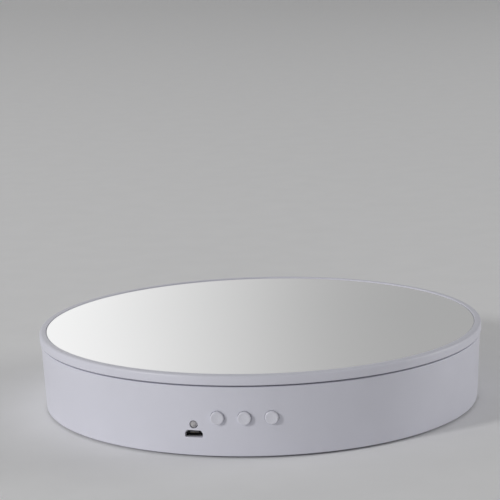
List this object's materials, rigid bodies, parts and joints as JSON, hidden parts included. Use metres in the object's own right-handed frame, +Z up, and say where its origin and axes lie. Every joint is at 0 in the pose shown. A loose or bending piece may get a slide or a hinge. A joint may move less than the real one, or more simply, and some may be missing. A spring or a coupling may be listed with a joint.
{
  "type": "turntable display stand",
  "caption": "Low round motorised display stand with a mirrored platter on a ball race, geared motor drive, push buttons, lamp and USB power inlet.",
  "frame": {"origin": "on the table under the centre of the platter, at the feet's lowest faces", "axes": "+Z up along the platter's axis, -Y towards the control panel with the buttons, +X to its right seen from the front"},
  "size_m": [0.2, 0.2, 0.0351],
  "materials": {
    "white_plastic": "satin moulded, very fine grain",
    "cap_plastic": "smooth moulded push caps",
    "mirror_glass": "polished, silvered on the back",
    "foot_rubber": "matte",
    "bright_steel": "zinc plated",
    "plain_steel": "brushed",
    "bush_bronze": "sintered, oiled",
    "gear_plastic": "natural acetal",
    "cage_plastic": "moulded nylon",
    "lead_box_plastic": "moulded",
    "socket_plastic": "moulded nylon",
    "board_laminate": "green solder mask",
    "chip_plastic": "matte black resin",
    "capacitor_sleeve": "shrink sleeve",
    "lead_insulation": "vinyl, one colour a wire",
    "inlet_steel": "pressed, nickel plated",
    "inlet_insulator": "moulded",
    "contact_gold": "gold flash",
    "lamp_epoxy": "clear, water white",
    "tape_foam": "adhesive film"
  },
  "bodies": {
    "base": {"drum_shell": "white_plastic", "bottom_cover": "white_plastic", "rubber_feet": "foot_rubber", "cover_screws": "bright_steel", "lower_race": "plain_steel", "spindle_bush": "bush_bronze", "motor_can": "plain_steel", "motor_face": "plain_steel", "motor_screws": "bright_steel", "motor_lead_box": "lead_box_plastic", "motor_leads": "lead_insulation", "motor_plug": "socket_plastic", "motor_socket": "socket_plastic", "control_board": "board_laminate", "board_screws": "bright_steel", "controller_chip": "chip_plastic", "driver_chip": "chip_plastic", "capacitors": "capacitor_sleeve", "chip_parts": "chip_plastic", "usb_shell": "inlet_steel", "usb_tongue": "inlet_insulator", "usb_contacts": "contact_gold", "lamp_lens": "lamp_epoxy", "lamp_leads": "bright_steel", "switch_bodies": "chip_plastic", "switch_frames": "plain_steel"},
    "turntable": {"platter": "white_plastic", "mirror": "mirror_glass", "mirror_tape": "tape_foam", "upper_race": "plain_steel", "spindle": "plain_steel", "spindle_washer": "plain_steel", "retaining_clip": "plain_steel", "drive_gear": "gear_plastic", "gear_screws": "bright_steel"},
    "ball_ring": {"ball_cage": "cage_plastic", "race_balls": "bright_steel"},
    "motor_output": {"pinion": "gear_plastic", "motor_shaft": "plain_steel"},
    "push_1": {"button_1": "cap_plastic", "plunger_1": "gear_plastic"},
    "push_2": {"button_2": "cap_plastic", "plunger_2": "gear_plastic"},
    "push_3": {"button_3": "cap_plastic", "plunger_3": "gear_plastic"}
  },
  "joints": [
    {"name": "platter_spin", "type": "hinge", "parent": "base", "child": "turntable", "pos_m": [0, 0, 0.0274], "axis": [0, 0, 1], "continuous": true},
    {"name": "cage_spin", "type": "hinge", "parent": "base", "child": "ball_ring", "pos_m": [0, 0, 0.0274], "axis": [0, 0, 1], "continuous": true},
    {"name": "pinion_spin", "type": "hinge", "parent": "base", "child": "motor_output", "pos_m": [-0.039, 0, 0.028], "axis": [0, 0, 1], "continuous": true},
    {"name": "button_1_press", "type": "slide", "parent": "base", "child": "push_1", "axis": [0, 1, 0], "range_m": [0, 0.0005], "stiffness_N_per_m": 1000, "springref_m": -0.0015},
    {"name": "button_2_press", "type": "slide", "parent": "base", "child": "push_2", "axis": [0, 1, 0], "range_m": [0, 0.0005], "stiffness_N_per_m": 1000, "springref_m": -0.0015},
    {"name": "button_3_press", "type": "slide", "parent": "base", "child": "push_3", "axis": [0, 1, 0], "range_m": [0, 0.0005], "stiffness_N_per_m": 1000, "springref_m": -0.0015}
  ],
  "couplings": [
    {"joint": "cage_spin", "follows": "platter_spin", "ratio": 0.5},
    {"joint": "pinion_spin", "follows": "platter_spin", "ratio": -3.3333}
  ]
}
